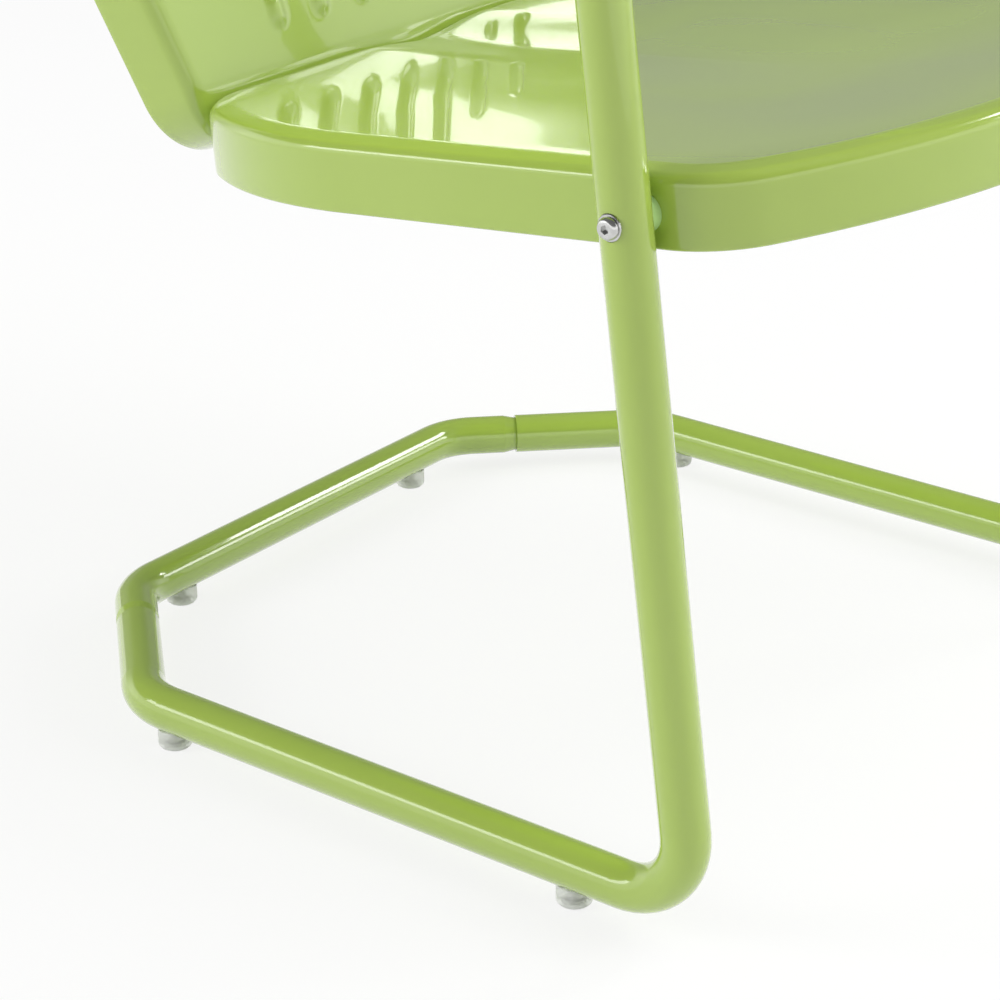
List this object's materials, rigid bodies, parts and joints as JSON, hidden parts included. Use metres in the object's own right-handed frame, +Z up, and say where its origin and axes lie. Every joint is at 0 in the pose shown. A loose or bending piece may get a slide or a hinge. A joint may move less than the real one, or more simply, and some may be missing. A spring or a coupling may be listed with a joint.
{
  "type": "metal patio chair",
  "caption": "Retro metal patio armchair: pressed sheet seat and back on a bent tube cantilever frame with floor glides.",
  "frame": {"origin": "on the floor under the middle of the chair's box", "axes": "+Z up, the front faces -Y, +X is the sitter's left"},
  "size_m": [0.5328, 0.6432, 0.8354],
  "materials": {
    "green_paint": "gloss",
    "stainless_steel": "polished",
    "clear_plastic": "translucent",
    "pale_green_plastic": "satin",
    "green_plastic": "satin"
  },
  "bodies": {
    "root": {"seat_pan": "green_paint", "back_panel": "green_paint", "rear_cross_tube": "green_paint", "left_side_frame": "green_paint", "left_seat_bolt": "stainless_steel", "left_seat_washer": "stainless_steel", "left_seat_spacer": "pale_green_plastic", "left_seat_nut": "stainless_steel", "left_arm_bolt": "stainless_steel", "left_arm_washer": "stainless_steel", "left_arm_spacer": "pale_green_plastic", "left_arm_nut": "stainless_steel", "left_arm_plug": "green_plastic", "left_front_glide": "clear_plastic", "left_rear_glide": "clear_plastic", "left_cross_glide": "clear_plastic", "right_side_frame": "green_paint", "right_seat_bolt": "stainless_steel", "right_seat_washer": "stainless_steel", "right_seat_spacer": "pale_green_plastic", "right_seat_nut": "stainless_steel", "right_arm_bolt": "stainless_steel", "right_arm_washer": "stainless_steel", "right_arm_spacer": "pale_green_plastic", "right_arm_nut": "stainless_steel", "right_arm_plug": "green_plastic", "right_front_glide": "clear_plastic", "right_rear_glide": "clear_plastic", "right_cross_glide": "clear_plastic", "back_bolts": "stainless_steel", "back_washers": "stainless_steel", "back_nuts": "stainless_steel", "glide_screws": "stainless_steel"}
  },
  "joints": []
}
